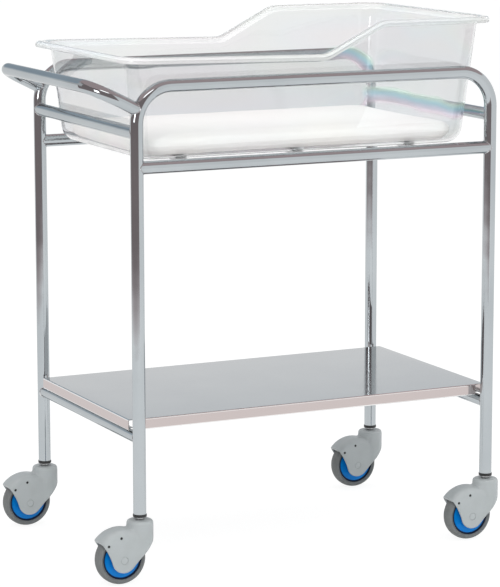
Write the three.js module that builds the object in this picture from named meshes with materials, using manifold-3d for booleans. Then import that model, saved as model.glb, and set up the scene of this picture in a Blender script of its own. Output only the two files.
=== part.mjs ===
// Hospital bassinet: a chromed tube stand on four swivel casters, with a sheet shelf,
// a clear plastic tub whose rim rises round the head end, and a thin mattress.
// Millimetres, +Z up. +X is the head end, -X the foot end with the push handle, -Y the front.
// The floor is z = 0 and the origin lies under the middle of the whole object.

import * as THREE from 'three';
import { mergeVertices } from 'three/addons/utils/BufferGeometryUtils.js';
import Module from 'manifold-3d';

const wasm = await Module();
wasm.setup();

// Frame tube, and leg places from centre to centre
const TUBE_OD = 25;
const TUBE_WALL = 1.5;
const LEG_SPAN_X = 765;
const LEG_SPAN_Y = 495;
const BEND_RADIUS = 70;
const LOWER_RAIL_Z = 798;
const END_BAR_DROP = 17;

// Push handle
const HANDLE_REACH = 84;
const HANDLE_RISE = 45;
const HANDLE_BEND_RADIUS = 55;
const HANDLE_JOINT_ANGLE = THREE.MathUtils.degToRad(22);

// Flat strips under the tub, between the lower rails. The margins are from the leg centres,
// and the rise is from the middle of the rails to the top of the strips.
const SUPPORT_COUNT = 3;
const SUPPORT_WIDTH = 22;
const SUPPORT_THICKNESS = 4;
const SUPPORT_FOOT_MARGIN = 118;
const SUPPORT_HEAD_MARGIN = 150;
const SUPPORT_RISE = 5.7;

// Tub
const TUB_WALL = 4;
const TUB_DEPTH_LOW = 192;
const TUB_RIM_STEP = 61;
const TUB_STEP_START = 22;
const TUB_STEP_RUN = 120;
const TUB_STEP_ROUND = 14;
const TUB_DRAFT = 0.095;
const TUB_CORNER_RADIUS = 42;
const TUB_FLOOR_RADIUS = 28;
const TUB_FOOT_GAP = 4;
const TUB_HEAD_GAP = 12;
const TUB_SIDE_GAP = 11;
const RIM_REACH = 24;
const RIM_CORNER_RADIUS = 46;
const RIM_FOOT_RISE = 8;
const RIM_LIP = 12;
const RIM_LIP_WALL = 3;
const RIM_ABOVE_RAIL = 21.6;

// Mattress
const MATTRESS_EDGE = 37;
const MATTRESS_CROWN = 8;
const MATTRESS_GAP = 6;
const MATTRESS_DRAW_IN = 5;
const MATTRESS_EDGE_ROUND = 9;

// Shelf
const SHELF_TOP_Z = 312;
const SHELF_SHEET = 1.5;
const SHELF_LIP = 22;
const SHELF_RETURN = 18;
const SHELF_SIDE_GAP = 11;
const SHELF_NOTCH = 22;
const SHELF_BAR_OD = 22;

// Caster
const WHEEL_RADIUS = 50;
const TYRE_WIDTH = 30;
const TYRE_DEPTH = 10.5;
const TYRE_SEAT_WIDTH = 25;
const TREAD_FLAT = 8;
const HUB_BOSS_RADIUS = 14;
const HUB_WEB = 16;
const HUB_RIM_DEPTH = 5;
const SLEEVE_WALL = 3.7;
const AXLE_RADIUS = 4;
const AXLE_HEAD_RADIUS = 7;
const AXLE_HEAD = 2;
const TRAIL = 42;
const HOOD_GAP = 5;
const HOOD_WALL = 5;
const HOOD_ROUND = 12;
const BEAK_REACH = 42;
const BEAK_FOOT = 23;
const CHEEK_GAP = 4;
const CHEEK_WALL = 5;
const CHEEK_TIP_RADIUS = 24.5;
const CHEEK_HOLE_RADIUS = 2;
const CHEEK_HOLE_REACH = 45;
const BOSS_RADIUS = 26;
const BOSS_RISE = 12;
const BOSS_ROUND = 6;
const BOSS_WALL = 10.7;
const BOSS_ROOF = 12;
const BEARING_HEIGHT = 8;
const STEM_HEAD = 6;
const STEM_HEAD_STEP = 4;
const NECK_STEP = 2.2;
const NECK_HEIGHT = 4.5;
const INSERT_WALL = 4.5;
const INSERT_LENGTH = 45;
const COLLAR_STEP = 1;
const COLLAR_HEIGHT = 5.5;

// Clearances
const WELD_GAP = 0.3;
const SEAT_GAP = 0.3;
const FIT_GAP = 0.3;

// Facets
const TUBE_SIDES = 16;
const BEND_STEPS = 6;
const WHEEL_SIDES = 20;
const POCKET_SIDES = 28;
const PIN_SIDES = 12;
const HOLE_SIDES = 8;
const CORNER_STEPS = 5;

// Heights and half sizes that follow from the dimensions above
const tubeRadius = TUBE_OD / 2;
const halfX = LEG_SPAN_X / 2;
const halfY = LEG_SPAN_Y / 2;
const supportTopZ = LOWER_RAIL_Z + SUPPORT_RISE;
const tubFloorZ = supportTopZ + SEAT_GAP;
const rimLowZ = tubFloorZ + TUB_DEPTH_LOW;
const rimHighZ = rimLowZ + TUB_RIM_STEP;
const topRailZ = rimLowZ - RIM_LIP - RIM_ABOVE_RAIL - tubeRadius;
const bendStartZ = topRailZ - BEND_RADIUS;
const endBarZ = bendStartZ - END_BAR_DROP;
const shelfBarZ = SHELF_TOP_Z - SHELF_LIP - SEAT_GAP - SHELF_BAR_OD / 2;

const hoodRadius = WHEEL_RADIUS + HOOD_GAP + HOOD_WALL;
const forkWidth = TYRE_WIDTH + 2 * (CHEEK_GAP + CHEEK_WALL);
const pocketWidth = forkWidth - 2 * CHEEK_WALL;
const bossTopZ = WHEEL_RADIUS + hoodRadius + BOSS_RISE;
const neckTopZ = bossTopZ + FIT_GAP + NECK_HEIGHT;
const collarZ = neckTopZ + FIT_GAP;
const legFootZ = collarZ + COLLAR_HEIGHT + SEAT_GAP;
const insertRadius = tubeRadius - TUBE_WALL - FIT_GAP;
const stemRadius = insertRadius - INSERT_WALL - FIT_GAP;

const tubMiddleX = (TUB_FOOT_GAP - TUB_HEAD_GAP) / 2;
const rimHalf = {
  x: tubHalf(rimLowZ).x + RIM_REACH,
  y: tubHalf(rimLowZ).y + RIM_REACH,
};
const footReach = halfX + HANDLE_REACH + tubeRadius;
const headReach = Math.max(halfX + BOSS_RADIUS, rimHalf.x + tubMiddleX);

// Outer half length and half width of the tub's wall at a height
function tubHalf(z) {
  return {
    x: halfX - tubeRadius - (TUB_FOOT_GAP + TUB_HEAD_GAP) / 2 + TUB_DRAFT * (z - endBarZ),
    y: halfY - tubeRadius - TUB_SIDE_GAP + TUB_DRAFT * (z - topRailZ),
  };
}

// A closed mesh with shared corners and no faces of zero area
function weld(geometry) {
  const plain = geometry.clone();
  plain.deleteAttribute('normal');
  plain.deleteAttribute('uv');
  const merged = mergeVertices(plain, 1e-4);
  const corners = merged.index.array;
  const kept = [];
  for (let i = 0; i < corners.length; i += 3) {
    const [a, b, c] = corners.slice(i, i + 3);
    if (a !== b && b !== c && c !== a) kept.push(a, b, c);
  }
  merged.setIndex(kept);
  return merged;
}

function solid(geometry) {
  const welded = weld(geometry);
  const mesh = new wasm.Mesh({
    numProp: 3,
    vertProperties: new Float32Array(welded.attributes.position.array),
    triVerts: new Uint32Array(welded.index.array),
  });
  return new wasm.Manifold(mesh);
}

function surface(manifold) {
  const mesh = manifold.getMesh();
  const geometry = new THREE.BufferGeometry();
  geometry.setAttribute('position', new THREE.BufferAttribute(mesh.vertProperties, 3));
  geometry.setIndex(new THREE.BufferAttribute(mesh.triVerts, 1));
  return geometry;
}

function box(sizeX, sizeY, sizeZ, x, y, z) {
  return solid(new THREE.BoxGeometry(sizeX, sizeY, sizeZ).translate(x, y, z));
}

// A path whose steps fall on its own stations, so that bends get the steps and straights none
class StationPath extends THREE.Curve {
  constructor(stations) {
    super();
    this.stations = stations;
  }

  get steps() {
    return this.stations.length - 1;
  }

  at(t, key, target) {
    const place = t * this.steps;
    const index = Math.min(Math.floor(place + 1e-6), this.steps - 1);
    const from = this.stations[index][key];
    const to = this.stations[index + 1][key];
    return target.lerpVectors(from, to, place - index);
  }

  getPoint(t, target = new THREE.Vector3()) {
    return this.at(t, 'point', target);
  }

  getTangent(t, target = new THREE.Vector3()) {
    return this.at(t, 'tangent', target).normalize();
  }

  getUtoTmapping(u) {
    return u;
  }
}

// Straight runs between corners, each inner corner rounded to the bend radius
function bentPath(corners, radius) {
  const runs = corners.slice(1).map((corner, i) => corner.clone().sub(corners[i]).normalize());
  const stations = [{ point: corners[0], tangent: runs[0] }];
  for (let i = 1; i < corners.length - 1; i += 1) {
    const before = runs[i - 1];
    const after = runs[i];
    const turn = before.angleTo(after);
    const inward = after.clone().addScaledVector(before, -before.dot(after)).normalize();
    const start = corners[i].clone().addScaledVector(before, -radius * Math.tan(turn / 2));
    for (let k = 0; k <= BEND_STEPS; k += 1) {
      const angle = (turn * k) / BEND_STEPS;
      const point = start.clone()
        .addScaledVector(before, radius * Math.sin(angle))
        .addScaledVector(inward, radius * (1 - Math.cos(angle)));
      const tangent = before.clone().multiplyScalar(Math.cos(angle))
        .addScaledVector(inward, Math.sin(angle));
      stations.push({ point, tangent });
    }
  }
  stations.push({ point: corners.at(-1), tangent: runs.at(-1) });
  return new StationPath(stations);
}

function ring(radius, sides) {
  const points = [];
  for (let i = 0; i < sides; i += 1) {
    const angle = (2 * Math.PI * i) / sides;
    points.push(new THREE.Vector2(radius * Math.cos(angle), radius * Math.sin(angle)));
  }
  return points;
}

// Round bar along a path, or a tube if a bore is given
function rod(path, radius, boreRadius = 0) {
  const section = new THREE.Shape(ring(radius, TUBE_SIDES));
  if (boreRadius > 0) section.holes.push(new THREE.Path(ring(boreRadius, TUBE_SIDES)));
  return solid(new THREE.ExtrudeGeometry(section, { extrudePath: path, steps: path.steps }));
}

function straight(from, to) {
  return bentPath([from, to], 0);
}

// Profile of [radius, height] corners turned about Z
function turned(profile, sides) {
  const points = profile.map(([radius, height]) => new THREE.Vector2(radius, height));
  return new THREE.LatheGeometry(points, sides).rotateX(Math.PI / 2);
}

// Outline in X and Z, given as a shape, with a depth along Y about y = 0
function slab(shape, depth, options = {}) {
  const settings = { depth, bevelEnabled: false, ...options };
  return new THREE.ExtrudeGeometry(shape, settings).rotateX(Math.PI / 2).translate(0, depth / 2, 0);
}

function roundedRectangle(x, y, radius) {
  const points = [];
  const centres = [[x - radius, y - radius], [radius - x, y - radius],
    [radius - x, radius - y], [x - radius, radius - y]];
  centres.forEach(([cx, cy], quarter) => {
    for (let k = 0; k <= CORNER_STEPS; k += 1) {
      const angle = (Math.PI / 2) * (quarter + k / CORNER_STEPS);
      points.push([cx + radius * Math.cos(angle), cy + radius * Math.sin(angle)]);
    }
  });
  return points;
}

// Closed skin over rings of equal count, the first and last filled by a fan
function loft(rings) {
  const count = rings[0].length;
  const vertices = [];
  const triangles = [];
  rings.flat().forEach((corner) => vertices.push(...corner));
  const middle = (corners) => {
    const sum = corners.reduce((s, c) => [s[0] + c[0], s[1] + c[1], s[2] + c[2]], [0, 0, 0]);
    return sum.map((value) => value / corners.length);
  };
  const bottom = vertices.length / 3;
  vertices.push(...middle(rings[0]), ...middle(rings.at(-1)));
  const lastRing = (rings.length - 1) * count;
  for (let i = 0; i < count; i += 1) {
    const next = (i + 1) % count;
    for (let level = 0; level < rings.length - 1; level += 1) {
      const low = level * count;
      const high = low + count;
      triangles.push(low + i, low + next, high + next, low + i, high + next, high + i);
    }
    triangles.push(bottom, next, i, bottom + 1, lastRing + i, lastRing + next);
  }
  const geometry = new THREE.BufferGeometry();
  geometry.setAttribute('position', new THREE.Float32BufferAttribute(vertices, 3));
  geometry.setIndex(triangles);
  return geometry;
}

const materials = {
  chrome: new THREE.MeshStandardMaterial({ color: 0xc4c9ce, roughness: 0.12, metalness: 1 }),
  sheet: new THREE.MeshStandardMaterial({ color: 0xc3c4c6, roughness: 0.3, metalness: 1 }),
  steel: new THREE.MeshStandardMaterial({ color: 0xa8abad, roughness: 0.3, metalness: 1 }),
  clear: new THREE.MeshStandardMaterial({
    color: 0xe6ebf0, roughness: 0.08, metalness: 0, transparent: true, opacity: 0.35,
  }),
  cover: new THREE.MeshStandardMaterial({ color: 0xfcfbf4, roughness: 0.6, metalness: 0 }),
  hood: new THREE.MeshStandardMaterial({ color: 0xb2baba, roughness: 0.5, metalness: 0 }),
  hub: new THREE.MeshStandardMaterial({ color: 0x0069b9, roughness: 0.4, metalness: 0 }),
  rubber: new THREE.MeshStandardMaterial({ color: 0x787c7c, roughness: 0.7, metalness: 0 }),
  black: new THREE.MeshStandardMaterial({ color: 0x1c1e1f, roughness: 0.5, metalness: 0 }),
};

const bassinet = new THREE.Group();
bassinet.position.x = (footReach - headReach) / 2;

function piece(group, name, geometry, material) {
  const mesh = new THREE.Mesh(geometry, material);
  mesh.name = name;
  group.add(mesh);
}

// Stand: two bent side frames, then the rails and bars coped to fit them
const sides = [['front', -1], ['back', 1]];
const ends = [['foot', -1], ['head', 1]];
const point = (x, y, z) => new THREE.Vector3(x, y, z);

function sideFramePath(side) {
  const y = side * halfY;
  const corners = [point(-halfX, y, legFootZ), point(-halfX, y, topRailZ),
    point(halfX, y, topRailZ), point(halfX, y, legFootZ)];
  return bentPath(corners, BEND_RADIUS);
}

const frameSpace = sides
  .map(([, side]) => rod(sideFramePath(side), tubeRadius + WELD_GAP))
  .reduce((all, one) => all.add(one));

function coped(path, radius) {
  return surface(rod(path, radius, radius - TUBE_WALL).subtract(frameSpace));
}

function railPath(side) {
  const y = side * halfY;
  return straight(point(-halfX, y, LOWER_RAIL_Z), point(halfX, y, LOWER_RAIL_Z));
}

for (const [sideName, side] of sides) {
  const frame = rod(sideFramePath(side), tubeRadius, tubeRadius - TUBE_WALL);
  piece(bassinet, `side_frame_${sideName}`, surface(frame), materials.chrome);
  piece(bassinet, `lower_rail_${sideName}`, coped(railPath(side), tubeRadius), materials.chrome);
}

for (const [endName, end] of ends) {
  const x = end * halfX;
  const bar = straight(point(x, -halfY, endBarZ), point(x, halfY, endBarZ));
  piece(bassinet, `end_bar_${endName}`, coped(bar, tubeRadius), materials.chrome);
  const shelfBar = straight(point(x, -halfY, shelfBarZ), point(x, halfY, shelfBarZ));
  piece(bassinet, `shelf_bar_${endName}`, coped(shelfBar, SHELF_BAR_OD / 2), materials.chrome);
}

function handlePath() {
  const jointX = -halfX + BEND_RADIUS * (1 - Math.cos(HANDLE_JOINT_ANGLE));
  const jointZ = bendStartZ + BEND_RADIUS * Math.sin(HANDLE_JOINT_ANGLE);
  const gripX = -halfX - HANDLE_REACH;
  const gripZ = jointZ + HANDLE_RISE;
  const corners = [point(jointX, -halfY, jointZ), point(gripX, -halfY, gripZ),
    point(gripX, halfY, gripZ), point(jointX, halfY, jointZ)];
  return bentPath(corners, HANDLE_BEND_RADIUS);
}

piece(bassinet, 'push_handle', coped(handlePath(), tubeRadius), materials.chrome);

// Support strips, spread evenly between their end margins and coped to fit the lower rails
const railSpace = sides
  .map(([, side]) => rod(railPath(side), tubeRadius + WELD_GAP))
  .reduce((all, one) => all.add(one));

for (let i = 0; i < SUPPORT_COUNT; i += 1) {
  const first = -halfX + SUPPORT_FOOT_MARGIN;
  const last = halfX - SUPPORT_HEAD_MARGIN;
  const x = first + ((last - first) * i) / (SUPPORT_COUNT - 1);
  const z = supportTopZ - SUPPORT_THICKNESS / 2;
  const strip = box(SUPPORT_WIDTH, LEG_SPAN_Y, SUPPORT_THICKNESS, x, 0, z);
  piece(bassinet, `tub_support_${i + 1}`, surface(strip.subtract(railSpace)), materials.chrome);
}

// Shelf: sheet with lips down on four sides, each lip turned in at its foot.
// The long lips stop short of the corners.
function shelf() {
  const x = halfX + SHELF_BAR_OD / 2;
  const y = halfY - tubeRadius - SHELF_SIDE_GAP;
  const lipMidZ = SHELF_TOP_Z - SHELF_LIP / 2;
  const footZ = SHELF_TOP_Z - SHELF_LIP + SHELF_SHEET / 2;
  let tray = box(2 * x, 2 * y, SHELF_SHEET, 0, 0, SHELF_TOP_Z - SHELF_SHEET / 2);
  for (const sign of [-1, 1]) {
    const longLip = 2 * (x - SHELF_NOTCH);
    const endLip = 2 * y;
    const endTurn = 2 * (y - SHELF_NOTCH);
    const longTurn = 2 * (x - SHELF_RETURN);
    const lipY = sign * (y - SHELF_SHEET / 2);
    const lipX = sign * (x - SHELF_SHEET / 2);
    tray = tray
      .add(box(longLip, SHELF_SHEET, SHELF_LIP, 0, lipY, lipMidZ))
      .add(box(SHELF_SHEET, endLip, SHELF_LIP, lipX, 0, lipMidZ))
      .add(box(Math.min(longLip, longTurn), SHELF_RETURN, SHELF_SHEET,
        0, sign * (y - SHELF_RETURN / 2), footZ))
      .add(box(SHELF_RETURN, endTurn, SHELF_SHEET, sign * (x - SHELF_RETURN / 2), 0, footZ));
  }
  return surface(tray);
}

piece(bassinet, 'shelf', shelf(), materials.sheet);

// Tub: rim line along X, falling gently from the foot end, then a slope, then high at the head end
function rimLine(drop) {
  const far = 2 * LEG_SPAN_X;
  const slopeX = tubMiddleX + TUB_STEP_START;
  const fall = RIM_FOOT_RISE / (TUB_STEP_START + rimHalf.x);
  const slopeEndX = slopeX + TUB_STEP_RUN;
  const slope = new THREE.Vector2(TUB_STEP_RUN, TUB_RIM_STEP).setLength(TUB_STEP_ROUND);
  const lowZ = rimLowZ - drop;
  const highZ = rimHighZ - drop;
  const line = new THREE.Path();
  line.moveTo(-far, lowZ + fall * (slopeX + far));
  line.lineTo(slopeX - TUB_STEP_ROUND, lowZ + fall * TUB_STEP_ROUND);
  line.quadraticCurveTo(slopeX, lowZ, slopeX + slope.x, lowZ + slope.y);
  line.lineTo(slopeEndX - slope.x, highZ - slope.y);
  line.quadraticCurveTo(slopeEndX, highZ, slopeEndX + TUB_STEP_ROUND, highZ);
  line.lineTo(far, highZ);
  return line.getPoints(4);
}

// Everything between the rim line and the same line lowered by a drop
function rimBand(drop) {
  const shape = new THREE.Shape([...rimLine(0), ...rimLine(drop).reverse()]);
  return solid(slab(shape, 2 * LEG_SPAN_Y));
}

// Drafted box with round corners and a round lower edge, inset from the tub's outside
function tubBlock(inset, topZ) {
  const floorRadius = TUB_FLOOR_RADIUS - inset;
  const floorZ = tubFloorZ + inset;
  const levels = [];
  for (let k = 0; k <= CORNER_STEPS; k += 1) {
    const angle = ((Math.PI / 2) * k) / CORNER_STEPS;
    levels.push([floorZ + floorRadius * (1 - Math.cos(angle)), floorRadius * (1 - Math.sin(angle))]);
  }
  levels.push([topZ, 0]);
  const rings = levels.map(([z, curve]) => {
    const half = tubHalf(z);
    const back = inset + curve;
    return roundedRectangle(half.x - back, half.y - back, TUB_CORNER_RADIUS - back)
      .map(([x, y]) => [tubMiddleX + x, y, z]);
  });
  return solid(loft(rings));
}

function rimPrism(inset) {
  const outline = roundedRectangle(rimHalf.x - inset, rimHalf.y - inset, RIM_CORNER_RADIUS - inset);
  const shape = new THREE.Shape(outline.map(([x, y]) => new THREE.Vector2(x, y)));
  const depth = 2 * rimHighZ;
  const prism = new THREE.ExtrudeGeometry(shape, { depth, bevelEnabled: false });
  return solid(prism.translate(tubMiddleX, 0, 0));
}

function tub() {
  const openTop = rimHighZ + TUB_RIM_STEP;
  const flange = rimBand(TUB_WALL).intersect(rimPrism(0));
  const lip = rimBand(RIM_LIP).intersect(rimPrism(0).subtract(rimPrism(RIM_LIP_WALL)));
  const belowRim = rimBand(2 * TUB_DEPTH_LOW);
  const body = tubBlock(0, openTop).intersect(belowRim).add(flange).add(lip);
  return surface(body.subtract(tubBlock(TUB_WALL, openTop)));
}

piece(bassinet, 'tub', tub(), materials.clear);

// Mattress: flat below, crowned above, sides drawn in between its corners
function mattress() {
  const bedZ = tubFloorZ + TUB_WALL + SEAT_GAP;
  const bed = tubHalf(bedZ);
  const edgeIn = TUB_WALL + MATTRESS_GAP;
  const halfLength = bed.x - edgeIn;
  const halfWidth = bed.y - edgeIn;
  const cornerRadius = TUB_CORNER_RADIUS - edgeIn;
  const edge = MATTRESS_EDGE;
  const round = MATTRESS_EDGE_ROUND;
  const floorIn = TUB_FLOOR_RADIUS - TUB_WALL;
  const levels = [
    [0, floorIn],
    [round, round],
    [edge / 2, round / 3],
    [edge - round / 2, round / 2],
    [edge, 2 * round],
    [edge + 0.55 * MATTRESS_CROWN, halfWidth / 3],
    [edge + 0.85 * MATTRESS_CROWN, (2 * halfWidth) / 3],
    [edge + MATTRESS_CROWN, 0.95 * halfWidth],
  ];
  const rings = levels.map(([height, inset]) => {
    const x = halfLength - inset;
    const y = halfWidth - inset;
    const radius = Math.max(cornerRadius - inset, y / 8);
    return splitSides(roundedRectangle(x, y, radius)).map(([px, py]) => {
      const drawX = 1 - (MATTRESS_DRAW_IN / halfWidth) * (1 - (px / x) ** 2);
      const drawY = 1 - (MATTRESS_DRAW_IN / halfLength) * (1 - (py / y) ** 2);
      return [tubMiddleX + px * drawY, py * drawX, bedZ + height];
    });
  });
  return loft(rings);
}

// Adds points along the straight sides of a rounded rectangle, so that they can curve
function splitSides(outline) {
  const parts = 6;
  return outline.flatMap(([x, y], i) => {
    const [nextX, nextY] = outline[(i + 1) % outline.length];
    const steps = (i + 1) % (CORNER_STEPS + 1) === 0 ? parts : 1;
    return Array.from({ length: steps }, (_, k) => {
      const share = k / steps;
      return [x + (nextX - x) * share, y + (nextY - y) * share];
    });
  });
}

piece(bassinet, 'mattress', mattress(), materials.cover);

// Caster, about its own swivel axis with the floor at z = 0 and the wheel trailing to -X
const axleX = -TRAIL;
const axleZ = WHEEL_RADIUS;
const flatFactor = 1 / Math.cos(Math.PI / WHEEL_SIDES);

// Profile of [radius, half width] corners mirrored about the wheel's middle and turned about Y.
// The flats of the facets, not their corners, lie at the given radius.
function wheelRing(halfProfile) {
  const mirrored = [...halfProfile].reverse().map(([radius, width]) => [radius, -width]);
  const profile = [...mirrored, ...halfProfile, mirrored[0]];
  const points = profile.map(([radius, width]) => new THREE.Vector2(radius * flatFactor, width));
  const ringShape = new THREE.LatheGeometry(points, WHEEL_SIDES, Math.PI / WHEEL_SIDES);
  return ringShape.translate(axleX, 0, axleZ);
}

function tyre() {
  const seatRadius = WHEEL_RADIUS - TYRE_DEPTH;
  return wheelRing([
    [WHEEL_RADIUS, TREAD_FLAT / 2],
    [WHEEL_RADIUS - 0.2 * TYRE_DEPTH, (TREAD_FLAT + TYRE_WIDTH) / 4 + 1],
    [WHEEL_RADIUS - 0.6 * TYRE_DEPTH, TYRE_WIDTH / 2],
    [seatRadius, TYRE_SEAT_WIDTH / 2],
  ]);
}

const sleeveRadius = AXLE_RADIUS + FIT_GAP + SLEEVE_WALL;

function hub() {
  const rimRadius = WHEEL_RADIUS - TYRE_DEPTH - FIT_GAP;
  const rimHalfWidth = TYRE_SEAT_WIDTH / 2;
  const bossHalfWidth = pocketWidth / 2 - 2 * FIT_GAP;
  return wheelRing([
    [rimRadius, rimHalfWidth],
    [rimRadius - HUB_RIM_DEPTH, rimHalfWidth],
    [rimRadius - HUB_RIM_DEPTH, HUB_WEB / 2],
    [HUB_BOSS_RADIUS, HUB_WEB / 2],
    [HUB_BOSS_RADIUS, bossHalfWidth],
    [sleeveRadius + FIT_GAP, bossHalfWidth],
  ]);
}

function aboutAxle(profile, sideCount) {
  return turned(profile, sideCount).rotateX(Math.PI / 2).translate(axleX, 0, axleZ);
}

function axleSleeve() {
  const half = pocketWidth / 2 - FIT_GAP;
  const bore = AXLE_RADIUS + FIT_GAP;
  return aboutAxle([[bore, -half], [sleeveRadius, -half], [sleeveRadius, half], [bore, half],
    [bore, -half]], PIN_SIDES);
}

function axleRivet() {
  const end = forkWidth / 2;
  const shoulder = end - AXLE_HEAD;
  return aboutAxle([[0, -end], [AXLE_HEAD_RADIUS, -end], [AXLE_HEAD_RADIUS, -shoulder],
    [AXLE_RADIUS, -shoulder], [AXLE_RADIUS, shoulder], [AXLE_HEAD_RADIUS, shoulder],
    [AXLE_HEAD_RADIUS, end], [0, end]], PIN_SIDES);
}

const bearingRadius = BOSS_RADIUS - BOSS_WALL - FIT_GAP;
const bearingTopZ = bossTopZ - BOSS_ROOF - FIT_GAP;
const bearingZ = bearingTopZ - BEARING_HEIGHT;

function swivelBearing() {
  const bore = stemRadius + FIT_GAP;
  return turned([[bore, bearingZ], [bearingRadius, bearingZ], [bearingRadius, bearingTopZ],
    [bore, bearingTopZ], [bore, bearingZ]], PIN_SIDES);
}

function casterStem() {
  const headTopZ = bearingZ - FIT_GAP;
  const headRadius = stemRadius + STEM_HEAD_STEP;
  const neckRadius = stemRadius + NECK_STEP;
  const neckZ = bossTopZ + FIT_GAP;
  const topZ = legFootZ + INSERT_LENGTH - INSERT_WALL;
  return turned([[0, headTopZ - STEM_HEAD], [headRadius, headTopZ - STEM_HEAD],
    [headRadius, headTopZ], [stemRadius, headTopZ], [stemRadius, neckZ], [neckRadius, neckZ],
    [neckRadius, neckTopZ], [stemRadius, neckTopZ], [stemRadius, topZ], [0, topZ]], PIN_SIDES);
}

function legInsert() {
  const bore = stemRadius + FIT_GAP;
  const collarRadius = tubeRadius + COLLAR_STEP;
  const collarTopZ = collarZ + COLLAR_HEIGHT;
  const topZ = legFootZ + INSERT_LENGTH;
  return turned([[bore, collarZ], [collarRadius, collarZ], [collarRadius, collarTopZ],
    [insertRadius, collarTopZ], [insertRadius, topZ], [bore, topZ], [bore, collarZ]], TUBE_SIDES);
}

// Angle about the axle where a line from a point touches the cheek's round tip
function tipAngle(x, z, turn) {
  return Math.atan2(z, x) + turn * Math.acos(CHEEK_TIP_RADIUS / Math.hypot(x, z));
}

// Side view of the hood, boss and cheeks: boss side, straight edge to a round tip under the axle,
// straight edge up to the beak, then clear above the hood and boss
function forkOutline() {
  const clearZ = 2 * bossTopZ;
  const sideX = BOSS_RADIUS;
  const sideLowZ = axleZ + CHEEK_TIP_RADIUS + BOSS_RISE;
  const beakX = axleX - BEAK_REACH;
  const beakLowZ = axleZ + BEAK_FOOT;
  const tipFrom = tipAngle(sideX - axleX, sideLowZ - axleZ, -1);
  const tipTo = tipAngle(beakX - axleX, beakLowZ - axleZ, 1);
  const shape = new THREE.Shape();
  shape.moveTo(2 * sideX, clearZ);
  shape.lineTo(2 * sideX, sideLowZ + sideX);
  shape.lineTo(sideX, sideLowZ);
  shape.absarc(axleX, axleZ, CHEEK_TIP_RADIUS, tipFrom, tipTo, true);
  shape.lineTo(beakX, beakLowZ);
  shape.lineTo(beakX, clearZ);
  shape.closePath();
  return shape;
}

// Round cover over the wheel, its outer edges rounded
function hoodDisc() {
  const half = forkWidth / 2;
  const arc = [0, 0.5, 1].map((share) => {
    const angle = (Math.PI / 2) * share;
    return [hoodRadius - HOOD_ROUND * (1 - Math.sin(angle)), half - HOOD_ROUND * (1 - Math.cos(angle))];
  });
  const mirrored = [...arc].reverse().map(([radius, width]) => [radius, -width]);
  const profile = [[0, half], ...arc, ...mirrored, [0, -half]].reverse();
  const points = profile.map(([radius, width]) => new THREE.Vector2(radius, width));
  return new THREE.LatheGeometry(points, POCKET_SIDES).translate(axleX, 0, axleZ);
}

function acrossAxle(radius, length, x, z, sideCount = PIN_SIDES) {
  const bar = new THREE.CylinderGeometry(radius, radius, length, sideCount);
  return solid(bar.translate(x, 0, z));
}

function casterFork() {
  const boss = turned([[0, axleZ], [BOSS_RADIUS, axleZ], [BOSS_RADIUS, bossTopZ - BOSS_ROUND],
    [BOSS_RADIUS - 0.3 * BOSS_ROUND, bossTopZ - 0.3 * BOSS_ROUND],
    [BOSS_RADIUS - BOSS_ROUND, bossTopZ], [0, bossTopZ]], TUBE_SIDES);
  const outline = slab(forkOutline(), 2 * forkWidth, { curveSegments: 3 });
  const body = solid(hoodDisc()).add(solid(boss)).intersect(solid(outline));
  const pocketRadius = WHEEL_RADIUS + HOOD_GAP;
  const pocket = acrossAxle(pocketRadius, pocketWidth, axleX, axleZ, POCKET_SIDES);
  const stemBore = solid(turned([[0, axleZ], [bearingRadius + FIT_GAP, axleZ],
    [bearingRadius + FIT_GAP, bearingTopZ + FIT_GAP], [stemRadius + FIT_GAP, bearingTopZ + FIT_GAP],
    [stemRadius + FIT_GAP, 2 * bossTopZ], [0, 2 * bossTopZ]], PIN_SIDES));
  let fork = body.subtract(pocket).subtract(stemBore);
  fork = fork.subtract(acrossAxle(AXLE_RADIUS + FIT_GAP, 2 * forkWidth, axleX, axleZ));
  const headBore = acrossAxle(AXLE_HEAD_RADIUS + FIT_GAP, 2 * forkWidth, axleX, axleZ);
  const headSeat = forkWidth - 2 * (AXLE_HEAD + FIT_GAP);
  fork = fork.subtract(headBore.subtract(acrossAxle(2 * AXLE_HEAD_RADIUS, headSeat, axleX, axleZ)));
  for (const angle of [98, 136].map(THREE.MathUtils.degToRad)) {
    const x = axleX + CHEEK_HOLE_REACH * Math.cos(angle);
    const z = axleZ + CHEEK_HOLE_REACH * Math.sin(angle);
    fork = fork.subtract(acrossAxle(CHEEK_HOLE_RADIUS, 2 * forkWidth, x, z, HOLE_SIDES));
  }
  return surface(fork);
}

const casterPieces = [
  ['leg_insert', legInsert(), materials.black],
  ['caster_stem', casterStem(), materials.steel],
  ['swivel_bearing', swivelBearing(), materials.steel],
  ['caster_fork', casterFork(), materials.hood],
  ['axle_rivet', axleRivet(), materials.hood],
  ['axle_sleeve', axleSleeve(), materials.steel],
  ['wheel_hub', hub(), materials.hub],
  ['wheel_tyre', tyre(), materials.rubber],
];

for (const [sideName, side] of sides) {
  for (const [endName, end] of ends) {
    const caster = new THREE.Group();
    caster.position.set(end * halfX, side * halfY, 0);
    casterPieces.forEach(([name, geometry, material]) => {
      piece(caster, `${name}_${sideName}_${endName}`, geometry, material);
    });
    bassinet.add(caster);
  }
}

export default bassinet;
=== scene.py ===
"""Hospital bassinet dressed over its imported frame: a chromed tube stand on swivel casters,
a satin shelf, a clear tub and a thin mattress. Metres, +Z up, in the frame's coordinates."""

import math

import bmesh
import bpy
import numpy as np
from mathutils import Matrix, Vector


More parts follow.
